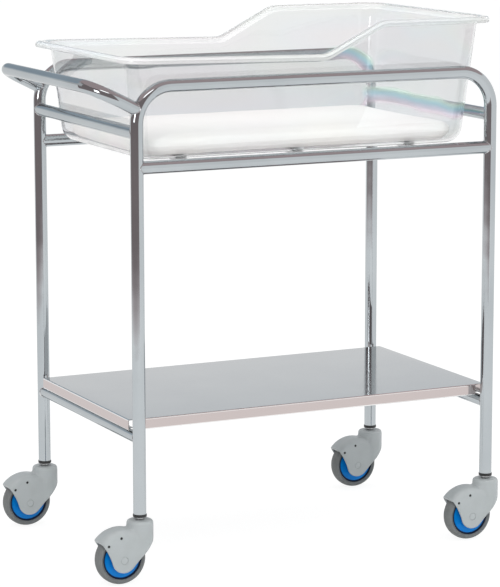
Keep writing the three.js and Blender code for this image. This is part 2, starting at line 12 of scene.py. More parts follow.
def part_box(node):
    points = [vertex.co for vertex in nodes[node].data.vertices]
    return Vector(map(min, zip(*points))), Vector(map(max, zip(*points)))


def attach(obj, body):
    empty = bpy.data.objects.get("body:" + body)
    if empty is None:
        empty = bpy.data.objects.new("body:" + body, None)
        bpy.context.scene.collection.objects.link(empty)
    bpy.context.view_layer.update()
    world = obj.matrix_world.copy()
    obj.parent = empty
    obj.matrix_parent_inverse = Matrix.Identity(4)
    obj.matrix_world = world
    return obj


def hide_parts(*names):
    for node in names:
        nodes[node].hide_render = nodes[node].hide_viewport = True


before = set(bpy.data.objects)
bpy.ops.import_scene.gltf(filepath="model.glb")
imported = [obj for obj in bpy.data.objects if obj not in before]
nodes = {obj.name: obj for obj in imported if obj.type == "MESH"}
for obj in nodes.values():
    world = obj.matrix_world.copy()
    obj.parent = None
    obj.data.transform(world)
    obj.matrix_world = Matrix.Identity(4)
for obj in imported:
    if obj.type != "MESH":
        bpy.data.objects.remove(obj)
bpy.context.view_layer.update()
scene = bpy.context.scene

# Stand, from the frame's boxes
frame_low, frame_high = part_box("side_frame_front")
rail_low, rail_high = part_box("lower_rail_front")
bar_low, bar_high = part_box("end_bar_foot")
shelf_bar_low, shelf_bar_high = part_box("shelf_bar_foot")
handle_low, handle_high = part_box("push_handle")
TUBE_RADIUS = (frame_high.y - frame_low.y) / 2
SHELF_BAR_RADIUS = (shelf_bar_high.z - shelf_bar_low.z) / 2
FOOT_X = frame_low.x + TUBE_RADIUS
HEAD_X = frame_high.x - TUBE_RADIUS
FRONT_Y = frame_low.y + TUBE_RADIUS
BACK_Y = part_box("side_frame_back")[1].y - TUBE_RADIUS
LEG_FOOT_Z = frame_low.z
TOP_RAIL_Z = frame_high.z - TUBE_RADIUS
LOWER_RAIL_Z = (rail_low.z + rail_high.z) / 2
END_BAR_Z = (bar_low.z + bar_high.z) / 2
SHELF_BAR_Z = (shelf_bar_low.z + shelf_bar_high.z) / 2
GRIP_X = handle_low.x + TUBE_RADIUS
GRIP_Z = handle_high.z - TUBE_RADIUS
BEND_RADIUS = 0.070
HANDLE_BEND_RADIUS = 0.055
HANDLE_JOINT_ANGLE = math.radians(22)
WELD_BEAD = 0.0011
WELD_RIPPLE = 0.0002
STRIP_EDGE = 0.0008

# Shelf
SHELF_SHEET = 0.0015
SHELF_RETURN = 0.018
SHELF_NOTCH = 0.022
SHELF_BEND = 0.0022

# Tub
tub_low, tub_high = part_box("tub")
TUB_X = (tub_low.x + tub_high.x) / 2
TUB_FLOOR_Z = tub_low.z
RIM_LOW_Z = TUB_FLOOR_Z + 0.192
RIM_FOOT_RISE = 0.008
RIM_HIGH_Z = tub_high.z
RIM_HALF_X = (tub_high.x - tub_low.x) / 2
RIM_HALF_Y = (tub_high.y - tub_low.y) / 2
RIM_REACH = 0.024
RIM_CORNER = 0.046
RIM_INNER_ROUND = 0.016
RIM_OUTER_ROUND = 0.007
RIM_LIP = 0.012
RIM_LIP_WALL = 0.003
TUB_WALL = 0.004
TUB_DRAFT = 0.095
TUB_CORNER = 0.042
TUB_FLOOR_ROUND = 0.028
TUB_STEP_X = TUB_X + 0.022
TUB_STEP_RUN = 0.120
TUB_STEP_ROUND = 0.014
RING_ROUNDS = 4
WALL_SHARES = (0.2, 0.4, 0.6, 0.8, 0.93)
FLOOR_SHARES = (0.3, 0.65)

# Painted light: streaks of rainbow colour painted in front of the head end's bar and of the back frame's
# bend, for the colours their light shows through strained plastic: low and high level, as height or as
# reach from the bend's centre, and the x and y where they start
BAR_STREAK = (0.845, 0.885, (0.37, 0.39), (-0.4, -0.3))
BEND_STREAK = (0.052, 0.086, (0.29, 0.335), (0.195, 0.205))
BEND_CENTRE_X = 0.328
BEND_CENTRE_Z = 0.884

# Mattress
mattress_low, mattress_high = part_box("mattress")
MATTRESS_EDGE = 0.036
MATTRESS_SWELL = 0.003
MATTRESS_CORNER = 0.032
MATTRESS_DRAW_IN = 0.005
MATTRESS_BANDS = (0.04, 0.07, 0.1, 0.13, 0.16)

# Casters
CORNERS = {
    "front_foot": (FOOT_X, FRONT_Y),
    "front_head": (HEAD_X, FRONT_Y),
    "back_foot": (FOOT_X, BACK_Y),
    "back_head": (HEAD_X, BACK_Y),
}
tyre_low, tyre_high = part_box("wheel_tyre_front_foot")
insert_low, insert_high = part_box("leg_insert_front_foot")
stem_low, stem_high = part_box("caster_stem_front_foot")
WHEEL_RADIUS = (tyre_high.z - tyre_low.z) / 2
TYRE_HALF = (tyre_high.y - tyre_low.y) / 2
TYRE_SEAT = WHEEL_RADIUS - 0.0105
TYRE_SEAT_HALF = 0.0122
TREAD_HALF = 0.0022
TREAD_DROP = 0.0066
HUB_RIM = WHEEL_RADIUS - 0.0108
TRAIL = FOOT_X - (tyre_low.x + tyre_high.x) / 2
AXLE_X = -TRAIL
AXLE_Z = WHEEL_RADIUS
BOSS_TOP_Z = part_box("caster_fork_front_foot")[1].z
ABOVE_FORK_Z = 2 * BOSS_TOP_Z
HOOD_RADIUS = 0.060
HOOD_ROUND = 0.012
FORK_HALF = 0.024
POCKET_RADIUS = 0.055
POCKET_HALF = 0.019
BOSS_RADIUS = 0.026
BOSS_ROUND = 0.006
BOSS_POCKET = 0.0153
BOSS_POCKET_TOP = 0.11
CHEEK_TIP = 0.0245
BEAK_TIP = (-0.0466, 0.0378)
BEAK_SLOPE = -1.27
CHEEK_BEND = (-0.030, 0.0167)
CHEEK_HOLE = 0.0028
CHEEK_HOLE_REACH = 0.045
CHEEK_HOLE_ANGLES = (math.radians(98), math.radians(136))
# depth of the painted shade discs below the cheek surfaces
HOLE_SHADE_DEPTH = 0.0008
RIVET_RADIUS = 0.004
RIVET_HEAD_RADIUS = 0.007
RIVET_HEAD = 0.002
RIVET_HOLE = 0.0073
STEEL_ROUND = 0.0006
STEM_RADIUS = 0.0059
STEM_HOLE = 0.0062
STEM_HEAD_RADIUS = 0.0099
STEM_HEAD = 0.006
NECK_RADIUS = 0.0081
NECK_GAP = 0.0003
INSERT_RADIUS = 0.0107
COLLAR_RADIUS = (insert_high.y - insert_low.y) / 2
COLLAR_TOP = LEG_FOOT_Z - 0.0001
COLLAR_ROUND = 0.0013


# Mesh builders

def add_object(name, data):
    obj = bpy.data.objects.new(name, data)
    scene.collection.objects.link(obj)
    return obj


def new_mesh(name, points, faces, smooth=True):
    """A mesh from points and faces, facing outward, smooth but for its hard edges."""
    mesh = bpy.data.meshes.new(name)
    mesh.from_pydata([tuple(p) for p in points], [], [tuple(f) for f in faces])
    tidy = bmesh.new()
    tidy.from_mesh(mesh)
    bmesh.ops.remove_doubles(tidy, verts=tidy.verts, dist=1e-7)
    bmesh.ops.recalc_face_normals(tidy, faces=tidy.faces)
    tidy.to_mesh(mesh)
    tidy.free()
    shade(mesh, smooth)
    return mesh


def add_mesh(name, *shape):
    return add_object(name, new_mesh(name, *shape))


def shade(mesh, smooth=True):
    mesh.polygons.foreach_set("use_smooth", [smooth] * len(mesh.polygons))
    if smooth:
        mesh.set_sharp_from_angle(angle=math.radians(38))


def paint_with(obj, material):
    obj.data.materials.clear()
    obj.data.materials.append(material)


def put(obj, material, body, slot, *replaced):
    """Gives a piece its material and body, and hides the frame nodes that it stands for; its slot is not
    used.
    """
    paint_with(obj, material)
    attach(obj, body)
    if replaced:
        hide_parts(*replaced)


def ring_faces(count, rings, closed=False):
    """Quads between neighbouring rings of count points each."""
    faces = []
    for level in range(rings if closed else rings - 1):
        low = level * count
        high = ((level + 1) % rings) * count
        for i in range(count):
            j = (i + 1) % count
            faces.append((low + i, low + j, high + j, high + i))
    return faces


def capped_faces(count, rings):
    """Quads between neighbouring rings, and a face over each end."""
    last = (rings - 1) * count
    ends = [tuple(reversed(range(count))), tuple(range(last, last + count))]
    return ring_faces(count, rings) + ends


def merged(shapes):
    """Points and faces of several shapes as one."""
    verts, faces = [], []
    for points, polygons in shapes:
        start = len(verts)
        verts += points
        faces += [tuple(start + i for i in polygon) for polygon in polygons]
    return verts, faces


def quarter_turn(steps):
    return [math.pi / 2 * k / steps for k in range(steps + 1)]


def bent_path(corners, radius, steps=20):
    """Straight runs between corners, with each inner corner rounded to the radius."""
    corners = [Vector(c) for c in corners]
    runs = [(b - a).normalized() for a, b in zip(corners, corners[1:])]
    points = [corners[0]]
    for corner, before, after in zip(corners[1:-1], runs, runs[1:]):
        turn = before.angle(after)
        inward = (after - before * before.dot(after)).normalized()
        start = corner - before * radius * math.tan(turn / 2)
        for k in range(steps + 1):
            angle = turn * k / steps
            along = before * radius * math.sin(angle)
            points.append(start + along + inward * radius * (1 - math.cos(angle)))
    points.append(corners[-1])
    return points


def tube(points, radius, sides=40, closed=False):
    """Points and faces of a round bar along a path; radius is one value or one per point."""
    points = [Vector(p) for p in points]
    count = len(points)
    radii = radius if isinstance(radius, (list, tuple)) else [radius] * count
    normal = None
    verts = []
    for i, point in enumerate(points):
        if closed:
            tangent = points[(i + 1) % count] - points[i - 1]
        else:
            tangent = points[min(i + 1, count - 1)] - points[max(i - 1, 0)]
        tangent.normalize()
        if normal is None:
            normal = tangent.orthogonal()
        normal = (normal - tangent * normal.dot(tangent)).normalized()
        side = tangent.cross(normal)
        for k in range(sides):
            angle = 2 * math.pi * k / sides
            verts.append(point + (normal * math.cos(angle) + side * math.sin(angle)) * radii[i])
    faces = ring_faces(sides, count, True) if closed else capped_faces(sides, count)
    return verts, faces


def lathe(profile, segments, axis="Z"):
    """Profile of (radius, along) corners turned about an axis. Ends at radius 0 or closes on itself."""
    closed = profile[0] == profile[-1]
    corners = profile[:-1] if closed else profile
    verts = []
    for radius, along in corners:
        for k in range(segments):
            angle = 2 * math.pi * k / segments
            x = radius * math.cos(angle)
            y = radius * math.sin(angle)
            verts.append((x, y, along) if axis == "Z" else (y, along, x))
    return verts, ring_faces(segments, len(corners), closed)


def rounded(profile, radius, steps):
    """A profile of corners with each inner corner rounded off to about the radius."""
    result = [profile[0]]
    for a, b, c in zip(profile, profile[1:], profile[2:]):
        before = Vector(b) - Vector(a)
        after = Vector(c) - Vector(b)
        cut = min(radius, before.length * 0.45, after.length * 0.45)
        start = Vector(b) - before.normalized() * cut
        end = Vector(b) + after.normalized() * cut
        for k in range(steps + 1):
            t = k / steps
            point = start * (1 - t) ** 2 + Vector(b) * 2 * t * (1 - t) + end * t ** 2
            result.append(tuple(point))
    result.append(profile[-1])
    return result


def both_halves(half):
    """A profile from its half on one side of the middle."""
    return [(radius, -along) for radius, along in reversed(half)] + half


def looped(profile):
    return profile + profile[:1]


def evaluated(obj, name):
    """A new mesh of what an object's modifiers make of it."""
    graph = bpy.context.evaluated_depsgraph_get()
    graph.update()
    mesh = bpy.data.meshes.new_from_object(obj.evaluated_get(graph))
    mesh.name = name
    return mesh


def remesh(obj, voxel):
    skin = obj.modifiers.new("skin", "REMESH")
    skin.mode = "VOXEL"
    skin.voxel_size = voxel


def discard(*objs):
    for obj in objs:
        bpy.data.objects.remove(obj)


# Materials

class Nodes:
    """Short calls to add nodes to a tree, each input given as a value or as a linked output."""

    def __init__(self, tree):
        self.tree = tree

    def feed(self, socket, value):
        if hasattr(value, "is_output"):
            self.tree.links.new(value, socket)
        else:
            socket.default_value = value

    def node(self, kind, **inputs):
        node = self.tree.nodes.new("ShaderNode" + kind)
        for key, value in inputs.items():
            self.feed(node.inputs[key.replace("_", " ")], value)
        return node

    def math(self, operation, a, b=0.0):
        node = self.node("Math")
        node.operation = operation
        self.feed(node.inputs[0], a)
        self.feed(node.inputs[1], b)
        return node.outputs[0]

    def choose(self, factor, one, other):
        """One shader at factor 0, the other at 1."""
        node = self.node("MixShader", Fac=factor)
        self.tree.links.new(one.outputs[0], node.inputs[1])
        self.tree.links.new(other.outputs[0], node.inputs[2])
        return node

    def seen(self):
        """1 for the camera's rays and for those off gloss or through clear plastic."""
        path = self.node("LightPath")
        direct = self.math("MAXIMUM", path.outputs["Is Camera Ray"], path.outputs["Is Glossy Ray"])
        return self.math("MAXIMUM", direct, path.outputs["Is Transmission Ray"])


class Paint(Nodes):
    """A material with one Principled shader."""

    def __init__(self, name, **values):
        self.material = bpy.data.materials.new(name)
        self.material.use_nodes = True
        super().__init__(self.material.node_tree)
        self.shader = self.tree.nodes["Principled BSDF"]
        for key, value in values.items():
            self.shader.inputs[key.replace("_", " ")].default_value = value

    def place(self, scale=(1, 1, 1)):
        """Object coordinates stretched by a scale."""
        coordinates = self.node("TexCoord").outputs["Object"]
        return self.node("Mapping", Vector=coordinates, Scale=scale).outputs["Vector"]

    def noise(self, scale, detail=3.0, stretch=(1, 1, 1), roughness=0.5):
        texture = self.node("TexNoise", Vector=self.place(stretch), Scale=scale, Detail=detail,
                            Roughness=roughness)
        return texture.outputs["Fac"]

    def ramp(self, factor, *stops):
        """Stops of (position, colour) over a factor."""
        ramp = self.node("ValToRGB", Fac=factor)
        elements = ramp.color_ramp.elements
        while len(elements) < len(stops):
            elements.new(0.5)
        for element, (position, colour) in zip(elements, stops):
            element.position = position
            element.color = (*colour, 1)
        return ramp.outputs["Color"]

    def span(self, factor, low, high, low_in=0.3, high_in=0.7):
        node = self.node("MapRange", Value=factor, From_Min=low_in, From_Max=high_in,
                         To_Min=low, To_Max=high)
        return node.outputs["Result"]

    def mix(self, factor, one, other, blend="MIX"):
        node = self.node("Mix")
        node.data_type = "RGBA"
        node.blend_type = blend
        for index, value in ((0, factor), (6, one), (7, other)):
            self.feed(node.inputs[index], (*value, 1) if isinstance(value, tuple) else value)
        return node.outputs[2]

    def bump(self, height, distance, strength=1.0, **under):
        node = self.node("Bump", Height=height, Distance=distance, Strength=strength, **under)
        return node.outputs["Normal"]

    def wire(self, **sockets):
        for key, value in sockets.items():
            self.tree.links.new(value, self.shader.inputs[key.replace("_", " ")])
        return self.material

    def show(self, shader):
        """Puts another shader on the surface."""
        surface = self.tree.nodes["Material Output"].inputs["Surface"]
        self.tree.links.new(shader.outputs[0], surface)
        return self.material


def plain_material(name, tone, haze, grain, **values):
    """A material whose tone, haze and grain each begin with the values of the noise they follow."""
    paint = Paint(name, **values)
    colour = paint.ramp(paint.noise(*tone[0]), *tone[1:])
    roughness = paint.span(paint.noise(*haze[0]), *haze[1:])
    normal = paint.bump(paint.noise(*grain[0]), *grain[1:])
    return paint.wire(Base_Color=colour, Roughness=roughness, Normal=normal)


def chrome_material():
    paint = Paint("chrome", Metallic=1.0, Specular_Tint=(0.82, 0.82, 0.82, 1))
    tone = paint.ramp(paint.noise(5.0), (0.35, (0.447, 0.48, 0.5)), (0.65, (0.49, 0.523, 0.542)))
    haze = paint.span(paint.noise(34.0, 4.0), 0.045, 0.11)
    wave = paint.bump(paint.noise(16.0, 1.0), 0.0004)
    polish = paint.bump(paint.noise(900.0, 2.0), 0.000004, 0.5, Normal=wave)
    return paint.wire(Base_Color=tone, Roughness=haze, Normal=polish)


def satin_material():
    """Fine satin sheet, with painted reflection: its upright lips painted a little lighter and warmer
    than the flat top, and a painted highlight on the bends between them.
    """
    paint = Paint("satin_sheet", Metallic=1.0, Specular_Tint=(0.88, 0.88, 0.88, 1))
    lines = paint.noise(1.0, 4.0, (9, 1400, 1400), 0.6)
    cloud = paint.noise(7.0, 3.0)
    flat = paint.ramp(cloud, (0.3, (0.5, 0.515, 0.53)), (0.7, (0.53, 0.545, 0.555)))
    normal = paint.node("TexCoord").outputs["Normal"]
    upward = paint.node("SeparateXYZ", Vector=normal).outputs["Z"]
    # painted reflection: faces that stand upright get a lighter, warmer colour than the flat top
    upright = paint.span(paint.math("ABSOLUTE", upward), 1.0, 0.0, 0.2, 0.8)
    painted_lip_reflection = paint.mix(upright, flat, (0.56, 0.495, 0.485))
    # painted highlight: the bends, half way between flat and upright, are painted pale
    bend = paint.math("PINGPONG", paint.math("MULTIPLY", upward, 2.0), 1.0)
    tone = paint.mix(paint.span(bend, 0.0, 1.0, 0.15, 0.5), painted_lip_reflection, (0.9, 0.89, 0.88))
    haze = paint.span(lines, 0.075, 0.13)
    brushed = paint.bump(lines, 0.000008, 0.5)
    return paint.wire(Base_Color=tone, Roughness=haze, Normal=brushed)


def painted_stress_streak(paint, place, level, low, high, start, side):
    """Painted light through strained plastic: rainbow colours from low to high, where they are painted,
    and how milky the plastic is there.
    """
    clear, milky, white = (0.0, 0.0, 0.0), (0.3, 0.3, 0.3), (1.0, 1.0, 1.0)
    share = paint.span(level, 0.0, 1.0, low, high)
    painted_stress_bands = paint.ramp(share, (0.0, white), (0.2, (1.0, 0.84, 0.92)), (0.4, (0.84, 0.86, 1.0)),
                       (0.6, (0.58, 0.9, 1.0)), (0.8, (0.8, 1.0, 0.88)), (1.0, white))
    cloud = paint.ramp(share, (0.0, clear), (0.2, milky), (0.8, milky), (1.0, clear))
    near = paint.math("MULTIPLY", paint.span(place.outputs["X"], 0.0, 1.0, *start),
                      paint.span(place.outputs["Y"], 0.0, 1.0, *side))
    return painted_stress_bands, near, paint.math("MULTIPLY", cloud, near)


def clear_material(name, clearness, low, high, dull):
    """Clear plastic that lets lamp light through, milky where its clearness is under 1."""
    paint = Paint(name, IOR=1.49, Transmission_Weight=clearness)
    plain = paint.ramp(paint.noise(4.0, 2.0), (0.3, low), (0.7, high))
    stress = paint.ramp(paint.noise(3.2, 0.0, (1.0, 1.6, 3.0)), (0.3, (1.0, 0.98, 0.985)),
                        (0.4, (0.985, 0.985, 1.0)), (0.5, (0.975, 0.995, 1.0)),
                        (0.6, (0.99, 1.0, 0.985)), (0.7, (1.0, 0.985, 0.99)))
    tint = paint.mix(1.0, plain, stress, "MULTIPLY")
    place = paint.node("SeparateXYZ", Vector=paint.place())
    drift = paint.span(paint.noise(9.0, 1.0), -0.005, 0.005)
    height = paint.math("ADD", place.outputs["Z"], drift)
    across = paint.math("MAXIMUM", paint.math("SUBTRACT", place.outputs["X"], BEND_CENTRE_X), 0.0)
    rise = paint.math("SUBTRACT", height, BEND_CENTRE_Z)
    squares = [paint.math("MULTIPLY", value, value) for value in (across, rise)]
    reach = paint.math("SQRT", paint.math("ADD", *squares))
    shader = paint.shader
    # painted light: rainbow streaks over the plastic in front of the head end's bar and the back frame's
    # bend
    for level, streak in ((height, BAR_STREAK), (reach, BEND_STREAK)):
        painted_stress_bands, near, share = painted_stress_streak(paint, place, level, *streak)
        tint = paint.mix(near, tint, paint.mix(1.0, tint, painted_stress_bands, "MULTIPLY"))
        shader = paint.choose(share, shader, paint.node("BsdfDiffuse", Color=painted_stress_bands))
    scuffs = paint.span(paint.noise(55.0, 5.0), dull, dull + 0.05, 0.45, 0.8)
    wave = paint.bump(paint.noise(11.0, 1.0), 0.0004)
    paint.wire(Base_Color=tint, Roughness=scuffs, Normal=wave)
    path = paint.node("LightPath")
    through = paint.math("MAXIMUM", path.outputs["Is Shadow Ray"], path.outputs["Is Diffuse Ray"])
    open_light = paint.node("BsdfTransparent", Color=(0.95, 0.96, 0.965, 1))
    return paint.show(paint.choose(through, shader, open_light))


def cover_material():
    """White cover, with painted shade: a little darker and warmer low on its sides, for the shade and
    warm bounce light there.
    """
    paint = Paint("mattress_cover", Sheen_Weight=0.15, Sheen_Roughness=0.4)
    white = paint.ramp(paint.noise(6.0), (0.3, (0.955, 0.93, 0.89)), (0.7, (0.97, 0.95, 0.92)))
    height = paint.node("SeparateXYZ", Vector=paint.place()).outputs["Z"]
    # painted shade: the lowest band of the sides is darker and warmer
    low = paint.span(height, 1.0, 0.0, mattress_low.z + 0.004, mattress_low.z + 0.03)
    tone = paint.mix(low, white, (0.89, 0.825, 0.8))
    haze = paint.span(paint.noise(40.0), 0.42, 0.56)
    creases = paint.bump(paint.noise(15.0, 4.0), 0.0012)
    grain = paint.bump(paint.noise(1500.0, 2.0), 0.00006, 0.7, Normal=creases)
    return paint.wire(Base_Color=tone, Roughness=haze, Normal=grain)


def hub_material():
    """Blue moulding whose outermost band is painted navy, as painted shade where the tyre shades it."""
    paint = Paint("hub_plastic", Specular_IOR_Level=0.25)
    length = paint.node("VectorMath", Vector=paint.place((1, 0, 1)))
    length.operation = "LENGTH"
    # painted shade: the outermost band, in the tyre's shade, turns navy
    edge = paint.span(length.outputs["Value"], 0.0, 1.0, 0.0348, 0.0364)
    blue = paint.ramp(paint.noise(60.0), (0.3, (0.0, 0.226, 0.726)), (0.7, (0.0, 0.274, 0.82)))
    tone = paint.mix(edge, blue, (0.004, 0.012, 0.035))
    haze = paint.span(paint.noise(200.0), 0.3, 0.42)
    grain = paint.bump(paint.noise(1100.0), 0.00004, 0.6)
    return paint.wire(Base_Color=tone, Roughness=haze, Normal=grain)


CHROME = chrome_material()
WELD = plain_material(
    "weld", ((60.0,), (0.3, (0.4, 0.4, 0.41)), (0.7, (0.56, 0.56, 0.57))),
    ((300.0,), 0.14, 0.3), ((420.0,), 0.0003), Metallic=1.0)
SATIN = satin_material()
CLEAR = clear_material("clear_plastic", 1.0, (0.815, 0.818, 0.823), (0.845, 0.846, 0.848), 0.015)
# painted highlight: milky white plastic for the rim's shoulder rings, where highlight lines show
RIM_PAINTED_HIGHLIGHT = clear_material("clear_rim_painted_highlight", 0.45, (0.95, 0.96, 0.96), (0.97, 0.98, 0.98), 0.08)
RIM_FACE = clear_material("clear_rim_face", 0.75, (0.82, 0.825, 0.82), (0.86, 0.865, 0.86), 0.03)
COVER = cover_material()
HOOD = plain_material(
    "hood_plastic", ((30.0,), (0.3, (0.466, 0.5, 0.505)), (0.7, (0.501, 0.537, 0.544))),
    ((90.0,), 0.38, 0.5), ((1400.0, 2.0), 0.00005, 0.6))
DUST = (70.0, 6.0)
TYRE = plain_material(
    "tyre_rubber", (DUST, (0.3, (0.175, 0.185, 0.185)), (0.6, (0.206, 0.218, 0.218)),
                    (0.8, (0.26, 0.26, 0.255))),
    (DUST, 0.55, 0.72), ((900.0,), 0.00008, 0.6))
HUB = hub_material()
BLACK = plain_material(
    "black_plastic", ((80.0,), (0.3, (0.012, 0.013, 0.014)), (0.7, (0.022, 0.023, 0.024))),
    ((200.0,), 0.32, 0.46), ((1200.0,), 0.00005, 0.5))
ROLLED = (1.0, 3.0, (900, 30, 900))
STRIP = plain_material(
    "support_strip", (ROLLED, (0.3, (0.66, 0.665, 0.67)), (0.7, (0.74, 0.745, 0.75))),
    (ROLLED, 0.3, 0.42), (ROLLED, 0.00002, 0.5), Metallic=0.35)
TURNED = (1.0, 3.0, (60, 60, 2600))
STEEL = plain_material(
    "stem_steel", (TURNED, (0.3, (0.4, 0.405, 0.41)), (0.7, (0.52, 0.525, 0.53))),
    (TURNED, 0.2, 0.34), (TURNED, 0.00002, 0.6), Metallic=1.0)


# Stand

def make_tube(name, points, radius=TUBE_RADIUS):
    obj = add_mesh(name + "_look", *tube(points, radius))
    put(obj, CHROME, "stand", "chromed_tube", name)


def handle_points():
    joint_x = FOOT_X + BEND_RADIUS * (1 - math.cos(HANDLE_JOINT_ANGLE))
    joint_z = TOP_RAIL_Z - BEND_RADIUS * (1 - math.sin(HANDLE_JOINT_ANGLE))
    corners = [(joint_x, FRONT_Y, joint_z), (GRIP_X, FRONT_Y, GRIP_Z),
               (GRIP_X, BACK_Y, GRIP_Z), (joint_x, BACK_Y, joint_z)]
    return bent_path(corners, HANDLE_BEND_RADIUS)


def make_tubes():
    for side, y in (("front", FRONT_Y), ("back", BACK_Y)):
        make_tube("side_frame_" + side, side_frame_points(y))
        make_tube("lower_rail_" + side, [(FOOT_X, y, LOWER_RAIL_Z), (HEAD_X, y, LOWER_RAIL_Z)])
    for end, x in (("foot", FOOT_X), ("head", HEAD_X)):
        make_tube("end_bar_" + end, [(x, FRONT_Y, END_BAR_Z), (x, BACK_Y, END_BAR_Z)])
        shelf_bar = [(x, FRONT_Y, SHELF_BAR_Z), (x, BACK_Y, SHELF_BAR_Z)]
        make_tube("shelf_bar_" + end, shelf_bar, SHELF_BAR_RADIUS)
    make_tube("push_handle", handle_points())


def side_frame_points(y):
    corners = [(FOOT_X, y, LEG_FOOT_Z), (FOOT_X, y, TOP_RAIL_Z),
               (HEAD_X, y, TOP_RAIL_Z), (HEAD_X, y, LEG_FOOT_Z)]
    return bent_path(corners, BEND_RADIUS)


def distance_to_path(points, path):
    """Least distance of each point to a path of straight steps."""
    starts = np.array(path[:-1])
    steps = np.array(path[1:]) - starts
    offset = points[:, None, :] - starts[None, :, :]
    share = (offset * steps).sum(2) / (steps * steps).sum(1)
    nearest = offset - np.clip(share, 0, 1)[:, :, None] * steps
    return np.sqrt((nearest ** 2).sum(2)).min(1)


def weld_loop(joint, along, radius, path):
    """Loop where a bar that leaves a joint comes out of the frame tube that follows a path."""
    along = Vector(along).normalized()
    side = along.orthogonal().normalized()
    across = along.cross(side)
    reach = np.linspace(0.0, 3 * TUBE_RADIUS, 160)
    loop = []
    count = 96
    for k in range(count):
        angle = 2 * math.pi * k / count
        edge = Vector(joint) + (side * math.cos(angle) + across * math.sin(angle)) * radius
        line = np.array(edge) + reach[:, None] * np.array(along)
        inside = np.flatnonzero(distance_to_path(line, path) < TUBE_RADIUS)
        loop.append(Vector(line[inside[-1] + 1 if len(inside) else 0]))
    return loop


def make_welds():
    """A thin bead round each bar where it meets a side frame."""
    loops = []
    for y in (FRONT_Y, BACK_Y):
        inward = (0, -math.copysign(1, y), 0)
        path = side_frame_points(y)
        thin = TUBE_RADIUS * 0.985
        for x, along in ((FOOT_X, 1), (HEAD_X, -1)):
            loops.append(weld_loop((x, y, LOWER_RAIL_Z), (along, 0, 0), thin, path))
            loops.append(weld_loop((x, y, END_BAR_Z), inward, thin, path))
            loops.append(weld_loop((x, y, SHELF_BAR_Z), inward, SHELF_BAR_RADIUS, path))
        handle = handle_points()
        joint, next_point = (handle[0], handle[1]) if y == FRONT_Y else (handle[-1], handle[-2])
        loops.append(weld_loop(joint, next_point - joint, thin, path))
    beads = [WELD_BEAD + WELD_RIPPLE * math.sin(1.9 * i) for i in range(len(loops[0]))]
    shapes = [tube(loop, beads, 8, True) for loop in loops]
    put(add_mesh("weld_beads", *merged(shapes)), WELD, "stand", "chromed_tube")


def dress_supports():
    for number in (1, 2, 3):
        strip = nodes[f"tub_support_{number}"]
        paint_with(strip, STRIP)
        edge = strip.modifiers.new("edge", "BEVEL")
        edge.width = STRIP_EDGE
        edge.segments = 2
        edge.limit_method = "ANGLE"


# Shelf: top sheet with lips folded down and turned in, the long lips stopping short of the corners

def fold_profile(lip):
    """Outward and downward offsets of a lip's mid sheet, from the top sheet's edge."""
    foot = SHELF_SHEET - lip
    points = []
    for angle in quarter_turn(5):
        points.append((SHELF_BEND * (math.sin(angle) - 1), SHELF_BEND * (math.cos(angle) - 1)))
    for angle in quarter_turn(5):
        points.append((SHELF_BEND * (math.cos(angle) - 1), foot + SHELF_BEND * (1 - math.sin(angle))))
    points.append((-SHELF_RETURN, foot))
    return points


def make_shelf():
    low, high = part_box("shelf")
    profile = fold_profile(high.z - low.z)
    half = SHELF_SHEET / 2
    top = high.z - half
    edges_x = (low.x + half, high.x - half)
    edges_y = (low.y + half, high.y - half)
    quads = []

    def quad(*corners):
        quads.append((corners, [(0, 1, 2, 3)]))

    xs = [edges_x[0] + SHELF_BEND, edges_x[0] + SHELF_NOTCH,
          edges_x[1] - SHELF_NOTCH, edges_x[1] - SHELF_BEND]
    ys = [edges_y[0] + SHELF_BEND, edges_y[1] - SHELF_BEND]
    for x, next_x in zip(xs, xs[1:]):
        quad((x, ys[0], top), (next_x, ys[0], top), (next_x, ys[1], top), (x, ys[1], top))
    for (out, drop), (next_out, next_drop) in zip(profile, profile[1:]):
        z, next_z = top + drop, top + next_drop
        cut = SHELF_NOTCH if next_out < -2 * SHELF_BEND else 0.0
        for sign, side in zip((-1, 1), edges_y):
            y, next_y = side + sign * out, side + sign * next_out
            quad((xs[1], y, z), (xs[1], next_y, next_z), (xs[2], next_y, next_z), (xs[2], y, z))
        for sign, side in zip((-1, 1), edges_x):
            x, next_x = side + sign * out, side + sign * next_out
            quad((x, ys[0] + cut, z), (next_x, ys[0] + cut, next_z),
                 (next_x, ys[1] - cut, next_z), (x, ys[1] - cut, z))
    obj = add_mesh("shelf_look", *merged(quads))
    thick = obj.modifiers.new("sheet", "SOLIDIFY")
    thick.thickness = SHELF_SHEET
    thick.offset = 0
    thick.use_even_offset = True
    flat = obj.modifiers.new("flat", "WEIGHTED_NORMAL")
    flat.weight = 100
    flat.keep_sharp = True
    put(obj, SATIN, "stand", "shelf_sheet", "shelf")


# Tub

def plan_template(corner_steps, long_steps, short_steps):
    """Factors that place the points of a rounded rectangle for any half sizes and corner radius."""
    rows = []
    for quarter, (sx, sy) in enumerate(((1, 1), (-1, 1), (-1, -1), (1, -1))):
        for k in range(corner_steps + 1):
            angle = math.pi / 2 * (quarter + k / corner_steps)
            rows.append((sx, sy, math.cos(angle), math.sin(angle)))
        steps = long_steps if quarter % 2 == 0 else short_steps
        for k in range(1, steps):
            share = 1 - 2 * k / steps
            if quarter % 2 == 0:
                rows.append((sx * share, sy, 0, sy))
            else:
                rows.append((sx, sy * share, sx, 0))
    return np.array(rows).T


def plan_points(template, half_x, half_y, radius):
    side_x, side_y, turn_x, turn_y = template
    return side_x * (half_x - radius) + turn_x * radius, side_y * (half_y - radius) + turn_y * radius


